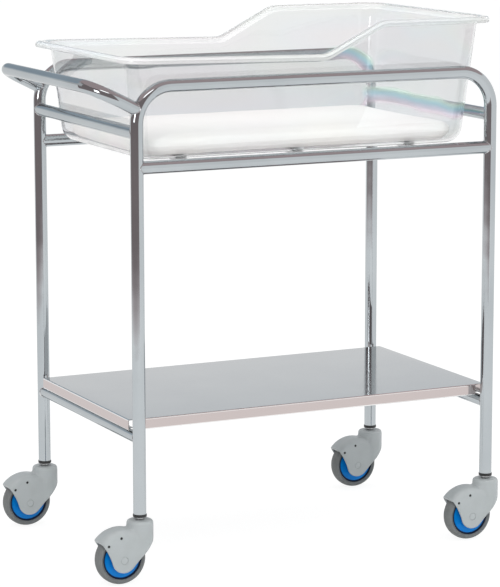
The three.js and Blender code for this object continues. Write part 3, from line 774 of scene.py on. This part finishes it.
def rim_height(x):
    """Height of the rim's top along the tub: a gentle fall, a slope with rounded ends, then high."""
    length = math.hypot(TUB_STEP_RUN, RIM_HIGH_Z - RIM_LOW_Z)
    run = TUB_STEP_RUN / length
    rise = (RIM_HIGH_Z - RIM_LOW_Z) / length
    size = TUB_STEP_ROUND
    start = TUB_STEP_X
    end = TUB_STEP_X + TUB_STEP_RUN
    fall = RIM_FOOT_RISE / (start - TUB_X + RIM_HALF_X)

    def corner(offset, before):
        a = size * (run - 1)
        b = 2 * size
        c = -size - np.clip(offset, -size, size * run)
        t = (-b + np.sqrt(b * b - 4 * a * c)) / (2 * a)
        return size * (rise * t * t + before * (1 - t) ** 2)

    low = RIM_LOW_Z + corner(x - start, fall) + fall * np.maximum(0, start - size - x)
    slope = RIM_LOW_Z + (x - start) * rise / run
    height = np.where(x < start + size * run, low, slope)
    return np.where(x > end - size * run, RIM_HIGH_Z - corner(end - x, 0.0), height)


def wall_points(template, z, inset):
    """Plan of the wall at a height or heights, a way in from its outer face."""
    spread = TUB_DRAFT * (z - RIM_LOW_Z) - RIM_REACH - inset
    return plan_points(template, RIM_HALF_X + spread, RIM_HALF_Y + spread, TUB_CORNER - inset)


def make_tub():
    template = plan_template(14, 72, 30)
    count = template.shape[1]
    rings = []

    def add_ring(x, y, z):
        rings.append(np.stack([TUB_X + x, y, np.broadcast_to(z, count)], 1))

    def wall_ring(share, drop, inset):
        """Ring a share of the way from the floor's round to the rim less a drop."""
        base = TUB_FLOOR_Z + TUB_FLOOR_ROUND
        z = np.full(count, base)
        for _ in range(RING_ROUNDS):
            x, y = wall_points(template, z, inset)
            z = base + share * (rim_height(TUB_X + x) - drop - base)
        add_ring(x, y, z)

    def rim_ring(reach, drop):
        """Ring at a reach outward from the wall's outer face, a drop below the rim's top."""
        inset = max(0.0, -reach)
        share = max(0.0, reach / RIM_REACH)
        far_x, far_y = plan_points(template, RIM_HALF_X, RIM_HALF_Y, RIM_CORNER)
        z = np.full(count, RIM_LOW_Z)
        for _ in range(RING_ROUNDS):
            x, y = wall_points(template, z, inset)
            x = x + (far_x - x) * share
            y = y + (far_y - y) * share
            z = rim_height(TUB_X + x) - drop
        add_ring(x, y, z)

    def rim_round(middle, depth, radius, first, last):
        """Rings round a bend of the rim's section about a point, between two angles from outward."""
        for k in range(7):
            angle = math.radians(first + (last - first) * k / 6)
            rim_ring(middle + radius * math.cos(angle), depth - radius * math.sin(angle))

    def floor_round(inset, rising):
        radius = TUB_FLOOR_ROUND - inset
        angles = quarter_turn(8)
        for angle in angles if rising else reversed(angles):
            z = TUB_FLOOR_Z + inset + radius * (1 - math.cos(angle))
            add_ring(*wall_points(template, z, inset + radius * (1 - math.sin(angle))), z)

    def floor_rings(ring):
        centre = np.array([TUB_X, 0, ring[0][2]])
        return [centre + (ring - centre) * share for share in FLOOR_SHARES]

    floor_round(TUB_WALL, True)
    rings[:0] = floor_rings(rings[0])
    for share in WALL_SHARES:
        wall_ring(share, RIM_INNER_ROUND, TUB_WALL)
    inner = RIM_INNER_ROUND - TUB_WALL
    outer = RIM_REACH - RIM_OUTER_ROUND
    inner_start = len(rings)
    rim_round(inner, RIM_INNER_ROUND, RIM_INNER_ROUND, 180, 90)
    outer_start = len(rings)
    rim_round(outer, RIM_OUTER_ROUND, RIM_OUTER_ROUND, 90, 0)
    lip_foot = RIM_LIP - RIM_LIP_WALL / 2
    rim_round(RIM_REACH - RIM_LIP_WALL / 2, lip_foot, RIM_LIP_WALL / 2, 0, -180)
    rim_round(outer, RIM_OUTER_ROUND, RIM_OUTER_ROUND - RIM_LIP_WALL, 0, 90)
    rim_end = len(rings)
    rim_round(inner, RIM_INNER_ROUND, RIM_INNER_ROUND - TUB_WALL, 90, 180)
    for share in reversed(WALL_SHARES):
        wall_ring(share, RIM_INNER_ROUND, 0.0)
    floor_round(0.0, False)
    rings += reversed(floor_rings(rings[-1]))
    obj = add_mesh("tub_look", np.concatenate(rings), capped_faces(count, len(rings)))
    put(obj, CLEAR, "tub", "clear_plastic", "tub")
    obj.data.materials.append(RIM_PAINTED_HIGHLIGHT)
    obj.data.materials.append(RIM_FACE)
    # painted highlight: a few rings on the rim's inner and outer shoulders get the milky white plastic
    highlight_rings = {*range(inner_start + 1, inner_start + 4), *range(outer_start + 1, outer_start + 5)}
    for face in obj.data.polygons[(inner_start + 1) * count:rim_end * count]:
        face.material_index = 1 if face.index // count in highlight_rings else 2


# Mattress

def coordinates(mesh):
    flat = np.empty(len(mesh.vertices) * 3)
    mesh.vertices.foreach_get("co", flat)
    return flat.reshape(-1, 3)


def swell(obj, floor_z, voxel=0.006, pressure=4.0, frames=20, cap=0.0035):
    """Fills a pad like foam in a tight cover. Its underside stays flat on the floor it lies on."""
    remesh(obj, voxel)
    mesh = evaluated(obj, obj.name)
    obj.modifiers.clear()
    obj.data = mesh
    start = coordinates(mesh)
    resting = obj.vertex_groups.new(name="resting")
    resting.add([int(i) for i in np.flatnonzero(start[:, 2] < floor_z + 0.003)], 1.0, "REPLACE")
    cloth = obj.modifiers.new("cover", "CLOTH")
    cloth.settings.quality = 5
    cloth.settings.use_pressure = True
    cloth.settings.uniform_pressure_force = pressure
    cloth.settings.effector_weights.gravity = 0
    cloth.settings.vertex_group_mass = "resting"
    cloth.point_cache.frame_start = 1
    cloth.point_cache.frame_end = frames
    for number in range(1, frames + 1):
        scene.frame_set(number)
    graph = bpy.context.evaluated_depsgraph_get()
    full = coordinates(obj.evaluated_get(graph).data)
    move = full - start
    length = np.linalg.norm(move, axis=1, keepdims=True)
    done = start + move * np.minimum(1, cap / np.maximum(length, 1e-9))
    done[:, 2] = np.maximum(done[:, 2], floor_z)
    obj.modifiers.clear()
    obj.vertex_groups.clear()
    mesh.vertices.foreach_set("co", done.ravel())
    mesh.update()
    shade(mesh)
    scene.frame_set(1)
    fine = obj.modifiers.new("fine", "SUBSURF")
    fine.levels = 1
    fine.render_levels = 1


def make_mattress():
    low, high = mattress_low, mattress_high
    template = plan_template(10, 60, 34)
    half_x = (high.x - low.x) / 2
    half_y = (high.y - low.y) / 2
    middle = (low.x + high.x) / 2
    edge = MATTRESS_EDGE
    crown = high.z - low.z - edge - MATTRESS_SWELL
    levels = [(0.0, 0.0195), (0.004, 0.0095), (0.009, 0.0045), (0.016, 0.0015),
              (edge - 0.01, 0.0015), (edge - 0.0045, 0.006), (edge - 0.0015, 0.014)]
    for inset in MATTRESS_BANDS:
        levels.append((edge + crown * math.sin(math.pi / 2 * inset / half_y), inset))
    rings = []
    for height, inset in levels:
        radius = max(MATTRESS_CORNER - inset, (half_y - inset) / 6)
        x, y = plan_points(template, half_x - inset, half_y - inset, radius)
        drawn_x = x * (1 - MATTRESS_DRAW_IN / half_x * (1 - (y / half_y) ** 2))
        drawn_y = y * (1 - MATTRESS_DRAW_IN / half_y * (1 - (x / half_x) ** 2))
        rings.append(np.stack([middle + drawn_x, drawn_y, np.full(len(x), low.z + height)], 1))
    faces = capped_faces(template.shape[1], len(rings))
    obj = add_mesh("mattress_look", np.concatenate(rings), faces)
    swell(obj, low.z)
    put(obj, COVER, "mattress", "mattress_cover", "mattress")


# Casters

def fork_outline():
    """Corners of the fork's side view, as x and z from the swivel axis and the floor."""
    side_low = CHEEK_TIP + BOSS_TOP_Z - WHEEL_RADIUS - HOOD_RADIUS
    side = (BOSS_RADIUS + TRAIL, side_low)
    first = math.atan2(side[1], side[0]) - math.acos(CHEEK_TIP / math.hypot(*side))
    bend = math.atan2(CHEEK_BEND[1], CHEEK_BEND[0])
    last = bend + math.acos(CHEEK_TIP / math.hypot(*CHEEK_BEND)) - 2 * math.pi
    corners = [(2 * BOSS_RADIUS, ABOVE_FORK_Z), (2 * BOSS_RADIUS, AXLE_Z + side_low + BOSS_RADIUS),
               (BOSS_RADIUS, AXLE_Z + side_low)]
    for k in range(25):
        angle = first + (last - first) * k / 24
        corners.append((AXLE_X + CHEEK_TIP * math.cos(angle), AXLE_Z + CHEEK_TIP * math.sin(angle)))
    tangent = (CHEEK_TIP * math.cos(last), CHEEK_TIP * math.sin(last))
    for k in range(1, 17):
        t = k / 16
        x, z = (tangent[i] * (1 - t) ** 2 + CHEEK_BEND[i] * 2 * t * (1 - t) + BEAK_TIP[i] * t ** 2
                for i in (0, 1))
        corners.append((AXLE_X + x, AXLE_Z + z))
    beyond = 0.03
    corners.append((AXLE_X + BEAK_TIP[0] - beyond, AXLE_Z + BEAK_TIP[1] - beyond * BEAK_SLOPE))
    corners.append((AXLE_X + BEAK_TIP[0] - beyond, ABOVE_FORK_Z))
    return corners


def prism(name, corners, half):
    count = len(corners)
    verts = [(x, -half, z) for x, z in corners] + [(x, half, z) for x, z in corners]
    faces = [tuple(range(count)), tuple(reversed(range(count, 2 * count)))]
    for i in range(count):
        j = (i + 1) % count
        faces.append((j, i, count + i, count + j))
    return add_mesh(name, verts, faces, False)


def turned(profile, x, z, segments=96):
    """Points and faces of a profile turned about a line along y."""
    verts, faces = lathe(profile, segments, "Y")
    return [(px + x, py, pz + z) for px, py, pz in verts], faces


def disc(name, radius, half, x, z, segments=96):
    profile = both_halves([(radius, half), (0, half)])
    return add_mesh(name, *turned(profile, x, z, segments))


def blend(obj, voxel, rounds):
    """Melts an object's edges into small rounds."""
    remesh(obj, voxel)
    soft = obj.modifiers.new("soft", "SMOOTH")
    soft.factor = 0.5
    soft.iterations = rounds


def combine(base, operation, other):
    modifier = base.modifiers.new(operation, "BOOLEAN")
    modifier.operation = operation
    modifier.solver = "EXACT"
    modifier.object = other


def cheek_holes():
    """Places of the small round holes in the cheeks, as x and z like the outline's."""
    for angle in CHEEK_HOLE_ANGLES:
        yield (CHEEK_HOLE_REACH * math.cos(angle) - TRAIL,
               CHEEK_HOLE_REACH * math.sin(angle) + WHEEL_RADIUS)


def hole_shade_mesh():
    """Painted shade: dark discs that close the cheek holes a little below the surface, so that they show
    as dark holes.
    """
    inner, outer = POCKET_HALF + HOLE_SHADE_DEPTH, FORK_HALF - HOLE_SHADE_DEPTH
    radius = CHEEK_HOLE - 0.0001
    shapes = []
    for x, z in cheek_holes():
        for sign in (-1, 1):
            profile = [(0, sign * inner), (radius, sign * inner),
                       (radius, sign * outer), (0, sign * outer)]
            shapes.append(turned(profile, x, z, 24))
    return new_mesh("hole_shade_pattern", *merged(shapes))


def fork_mesh():
    half = [(HOOD_RADIUS - HOOD_ROUND * (1 - math.cos(angle)),
             FORK_HALF - HOOD_ROUND * (1 - math.sin(angle))) for angle in quarter_turn(8)]
    profile = both_halves(half + [(0, FORK_HALF)])
    body = add_mesh("fork_body", *turned(profile, AXLE_X, AXLE_Z, 128))
    boss_profile = rounded([(0, AXLE_Z), (BOSS_RADIUS, AXLE_Z), (BOSS_RADIUS, BOSS_TOP_Z),
                            (0, BOSS_TOP_Z)], BOSS_ROUND, 8)
    boss = add_mesh("fork_boss", *lathe(boss_profile, 96))
    outline = prism("fork_outline", fork_outline(), 2 * FORK_HALF)
    pocket = disc("fork_pocket", POCKET_RADIUS, POCKET_HALF, AXLE_X, AXLE_Z)
    bore_profile = [(0, AXLE_Z), (BOSS_POCKET, AXLE_Z), (BOSS_POCKET, BOSS_POCKET_TOP),
                    (STEM_HOLE, BOSS_POCKET_TOP), (STEM_HOLE, ABOVE_FORK_Z), (0, ABOVE_FORK_Z)]
    bore = add_mesh("fork_bore", *lathe(bore_profile, 64))
    combine(body, "UNION", boss)
    blend(body, 0.0014, 24)
    blended = add_object("fork_blended", evaluated(body, "fork_blended"))
    for operation, other in (("INTERSECT", outline), ("DIFFERENCE", pocket), ("DIFFERENCE", bore)):
        combine(blended, operation, other)
    blend(blended, 0.0009, 6)
    fewer = blended.modifiers.new("fewer", "DECIMATE")
    fewer.ratio = 0.3
    moulded = add_object("fork_moulded", evaluated(blended, "fork_moulded"))
    cutters = [disc("axle_hole", RIVET_HOLE, 2 * FORK_HALF, AXLE_X, AXLE_Z, 48)]
    for x, z in cheek_holes():
        cutters.append(disc("cheek_hole", CHEEK_HOLE, 2 * FORK_HALF, x, z, 24))
    for cutter in cutters:
        combine(moulded, "DIFFERENCE", cutter)
    mesh = evaluated(moulded, "caster_fork_look")
    shade(mesh)
    discard(body, boss, outline, pocket, bore, blended, moulded, *cutters)
    return mesh


def tyre_profile():
    half = []
    for angle in quarter_turn(8):
        half.append((WHEEL_RADIUS - TREAD_DROP * (1 - math.cos(angle)) ** 0.9,
                     TREAD_HALF + (TYRE_HALF - TREAD_HALF) * math.sin(angle)))
    half += [(TYRE_SEAT + 0.0032, TYRE_HALF - 0.0006), (TYRE_SEAT + 0.0012, TYRE_HALF - 0.0016),
             (TYRE_SEAT, TYRE_SEAT_HALF)]
    return looped(both_halves(half))


def hub_profile():
    boss_half = POCKET_HALF - 0.0006
    corners = [(HUB_RIM, TYRE_SEAT_HALF), (HUB_RIM - 0.0012, 0.0125), (HUB_RIM - 0.0022, 0.0118),
               (HUB_RIM - 0.003, 0.0102), (HUB_RIM - 0.0045, 0.0096), (0.03, 0.0088), (0.02, 0.0084),
               (0.0165, 0.009), (0.0142, 0.0105), (0.0135, boss_half - 0.0012), (0.0125, boss_half),
               (0.0083, boss_half)]
    return looped(both_halves(corners))


def rivet_profile():
    inner = FORK_HALF - RIVET_HEAD
    half = [(RIVET_RADIUS, inner), (RIVET_HEAD_RADIUS, inner), (RIVET_HEAD_RADIUS, FORK_HALF),
            (0, FORK_HALF)]
    return rounded(both_halves(half), STEEL_ROUND, 3)


def insert_profile():
    corners = [(STEM_HOLE, insert_low.z), (COLLAR_RADIUS, insert_low.z), (COLLAR_RADIUS, COLLAR_TOP),
               (INSERT_RADIUS, COLLAR_TOP), (INSERT_RADIUS, insert_high.z), (STEM_HOLE, insert_high.z)]
    return looped(rounded(corners, COLLAR_ROUND, 4))


def stem_profile():
    head = stem_low.z + STEM_HEAD
    neck_low, neck_high = BOSS_TOP_Z + NECK_GAP, insert_low.z - NECK_GAP
    corners = [(0, stem_low.z), (STEM_HEAD_RADIUS, stem_low.z), (STEM_HEAD_RADIUS, head),
               (STEM_RADIUS, head), (STEM_RADIUS, neck_low), (NECK_RADIUS, neck_low),
               (NECK_RADIUS, neck_high), (STEM_RADIUS, neck_high), (STEM_RADIUS, stem_high.z),
               (0, stem_high.z)]
    return rounded(corners, STEEL_ROUND, 3)


def make_casters():
    rivet = new_mesh("rivet_pattern", *lathe(rivet_profile(), 48, "Y"))
    tyre = new_mesh("tyre_pattern", *lathe(tyre_profile(), 128, "Y"))
    hub = new_mesh("hub_pattern", *lathe(hub_profile(), 96, "Y"))
    insert = new_mesh("insert_pattern", *lathe(insert_profile(), 64))
    stem = new_mesh("stem_pattern", *lathe(stem_profile(), 48))
    swivel = (0, 0, 0)
    axle = (AXLE_X, 0, AXLE_Z)
    pieces = (
        ("caster_fork", fork_mesh(), swivel, HOOD, "caster", "hood_plastic"),
        ("axle_rivet", rivet, axle, HOOD, "caster", "hood_plastic"),
        ("wheel_tyre", tyre, axle, TYRE, "wheel", "tyre_rubber"),
        ("wheel_hub", hub, axle, HUB, "wheel", "hub_plastic"),
        ("leg_insert", insert, swivel, BLACK, "stand", "black_plastic"),
        ("caster_stem", stem, swivel, STEEL, "stand", "stem_steel"),
        # painted shade: black discs set in the cheek holes
        ("cheek_plugs", hole_shade_mesh(), swivel, BLACK, "caster", "black_plastic"),
    )
    for corner, (x, y) in CORNERS.items():
        for name, mesh, offset, material, body, slot in pieces:
            node = f"{name}_{corner}"
            obj = add_object(node + "_look", mesh)
            obj.location = Vector((x, y, 0)) + Vector(offset)
            carrier = body if body == "stand" else f"{body}_{corner}"
            replaced = [node] if node in nodes else []
            put(obj, material, carrier, slot, *replaced)
        for name in ("swivel_bearing", "axle_sleeve"):
            paint_with(nodes[f"{name}_{corner}"], STEEL)


# Surroundings

def make_world():
    world = bpy.data.worlds.new("studio")
    scene.world = world
    world.use_nodes = True
    sky = Nodes(world.node_tree)
    sky.tree.nodes.clear()
    light = sky.node("Background", Color=(0.97, 0.985, 1.0, 1), Strength=0.61)
    backdrop = sky.node("Background", Color=(1, 1, 1, 1), Strength=1.0)
    shown = sky.choose(sky.seen(), light, backdrop)
    sky.node("OutputWorld", Surface=shown.outputs[0])


def make_floor():
    """Pale paper that takes the light and the shadow, and shows mostly as white."""
    size = 30.0
    corners = [(-size, -size, 0), (size, -size, 0), (size, size, 0), (-size, size, 0)]
    floor = add_mesh("floor", corners, [(0, 1, 2, 3)], False)
    floor.location.z = -0.0005
    paint = Paint("floor_paper")
    paint.tree.nodes.remove(paint.shader)
    paper = paint.node("BsdfDiffuse", Color=(0.86, 0.86, 0.86, 1))
    glow = paint.node("Emission", Color=(1, 1, 1, 1), Strength=1.18)
    share = paint.math("MULTIPLY", paint.seen(), 0.75)
    floor.data.materials.append(paint.show(paint.choose(share, paper, glow)))


def add_card(name, points, faces, *stops, strength=1.0):
    """A studio card that only reflections show, its colour given by stops of (height, colour)."""
    card = add_mesh(name, points, faces, False)
    paint = Paint(name)
    paint.tree.nodes.remove(paint.shader)
    place = paint.node("TexCoord").outputs["Object"]
    height = paint.node("SeparateXYZ", Vector=place).outputs["Z"]
    top = stops[-1][0]
    share = paint.math("DIVIDE", height, top)
    colour = paint.ramp(share, *((level / top, colour) for level, colour in stops))
    card.data.materials.append(paint.show(paint.node("Emission", Color=colour, Strength=strength)))
    for ray in ("camera", "diffuse", "shadow", "transmission"):
        setattr(card, "visible_" + ray, False)


def level_card(name, first, last, near, far, *stops):
    """A card between two x, from one (y, z) to another."""
    corners = [(first, *near), (last, *near), (last, *far), (first, *far)]
    add_card(name, corners, [(0, 1, 2, 3)], *stops)


def wall_card(name, angles, radius, low, high, *stops, steps=20, strength=1.0):
    """An upright card round the part, between two angles in degrees and two heights."""
    arc = []
    for k in range(steps + 1):
        angle = math.radians(angles[0] + (angles[1] - angles[0]) * k / steps)
        arc.append((radius * math.cos(angle), radius * math.sin(angle)))
    points = [(x, y, low) for x, y in arc] + [(x, y, high) for x, y in arc]
    faces = [(k, k + 1, steps + 2 + k, steps + 1 + k) for k in range(steps)]
    add_card(name, points, faces, *stops, strength=strength)


def add_cards():
    """The dim left half of a room, its ceiling and its back, which the chrome reflects."""
    white = (1.0, 1.0, 1.0)
    pale = (0.66, 0.66, 0.67)
    brown = (0.58, 0.46, 0.46)
    dark = (0.38, 0.31, 0.32)
    blue = (0.42, 0.5, 0.57)
    ceiling = 4.2
    cornice = 3.6
    wall_card("left_wall", (270, 128), 2.8, 0.0, 3.0, (0.0, (1.0, 0.98, 0.98)),
              (0.08, (0.8, 0.74, 0.74)), (0.17, (0.47, 0.4, 0.4)), (0.29, (0.29, 0.24, 0.24)),
              (3.0, (0.27, 0.22, 0.22)))
    wall_card("window", (198, 212), 2.7, 0.85, 1.7, (0.0, white), (1.7, white), steps=1, strength=6.0)
    wall_card("panel", (122, 150), 2.7, 1.15, 2.4, (1.0, pale), (2.4, pale), steps=1)
    level_card("ceiling", -4.0, 7.0, (-3.7, ceiling), (5.0, ceiling), (0.0, brown), (ceiling, brown))
    level_card("ceiling_edge", -4.0, 7.0, (-4.5, ceiling), (-3.7, ceiling), (0.0, dark), (ceiling, dark))
    level_card("back_wall", -6.0, 9.0, (6.0, 1.5), (6.0, cornice), (1.5, white), (2.6, blue),
               (cornice, blue))
    level_card("back_slope", -6.0, 9.0, (5.0, ceiling), (6.0, cornice), (cornice, blue), (ceiling, brown))


def add_lamp(name, place, target, size, watts, colour=(1.0, 1.0, 1.0), mirrored=False, only=None):
    """An area lamp. Reflections show it if mirrored, and it may light one object only."""
    data = bpy.data.lights.new(name, "AREA")
    data.shape = "RECTANGLE"
    data.size, data.size_y = size
    data.energy = watts
    data.color = colour
    lamp = add_object(name, data)
    lamp.location = place
    lamp.visible_camera = False
    lamp.visible_transmission = False
    lamp.visible_glossy = mirrored
    aim = Vector(target) - Vector(place)
    lamp.rotation_euler = aim.to_track_quat("-Z", "Y").to_euler()
    if only:
        receivers = bpy.data.collections.new(name + "_receivers")
        receivers.objects.link(bpy.data.objects[only])
        lamp.light_linking.receiver_collection = receivers


def make_camera():
    data = bpy.data.cameras.new("camera")
    data.sensor_width = 36.0
    data.lens = 166.84
    data.clip_end = 100.0
    place = (-2.35191, -4.89406, 1.43675)
    yaw, pitch, roll = (math.radians(degrees) for degrees in (25.73, 9.84, -0.07))
    forward = Vector((math.sin(yaw) * math.cos(pitch), math.cos(yaw) * math.cos(pitch),
                      -math.sin(pitch)))
    level = Vector((math.cos(yaw), -math.sin(yaw), 0))
    upright = level.cross(forward)
    right = level * math.cos(roll) + upright * math.sin(roll)
    up = upright * math.cos(roll) - level * math.sin(roll)
    turn = Matrix((right, up, -forward)).transposed().to_4x4()
    camera = add_object("camera", data)
    camera.matrix_world = Matrix.Translation(place) @ turn
    scene.camera = camera


def make_studio():
    make_world()
    make_floor()
    add_cards()
    middle = (0, 0, 0.6)
    add_lamp("low", (-0.9, -3.6, 0.45), middle, (2.4, 0.8), 17, (1.0, 0.985, 0.97))
    add_lamp("key", (-1.8, -3.2, 3.6), middle, (2.2, 2.2), 43, (1.0, 0.99, 0.97), True)
    add_lamp("side", (3.4, -1.6, 2.6), middle, (1.6, 2.2), 19, (0.97, 0.985, 1.0))
    add_lamp("top", (0.4, 0.6, 4.0), middle, (2.6, 2.0), 27)
    bed = (mattress_low + mattress_high) / 2
    side = Vector((bed.x, 0.0, mattress_low.z + 0.018))
    front = (bed.x, mattress_low.y - 0.05, side.z)
    foot = (mattress_low.x - 0.05, 0.0, side.z)
    add_lamp("bed_top", (bed.x, 0.0, 1.04), bed, (0.8, 0.46), 0.75, only="mattress_look")
    add_lamp("bed_front", front, side, (0.7, 0.03), 0.13, only="mattress_look")
    add_lamp("bed_foot", foot, side, (0.38, 0.03), 0.065, only="mattress_look")
    add_lamp("window_light", (-2.6, -0.6, 1.3), (-0.37, 0.0, 0.99), (0.6, 0.8), 26, only="tub_look")
    add_lamp("sheen", (1.06, -1.5, 0.56), (1.06, 0.0, 0.56), (0.38, 0.42), 0.8, (0.88, 0.98, 1.0),
             True, "tub_look")
    scene.view_settings.view_transform = "Standard"


make_camera()
make_tubes()
make_welds()
dress_supports()
make_shelf()
make_tub()
make_mattress()
make_casters()
make_studio()
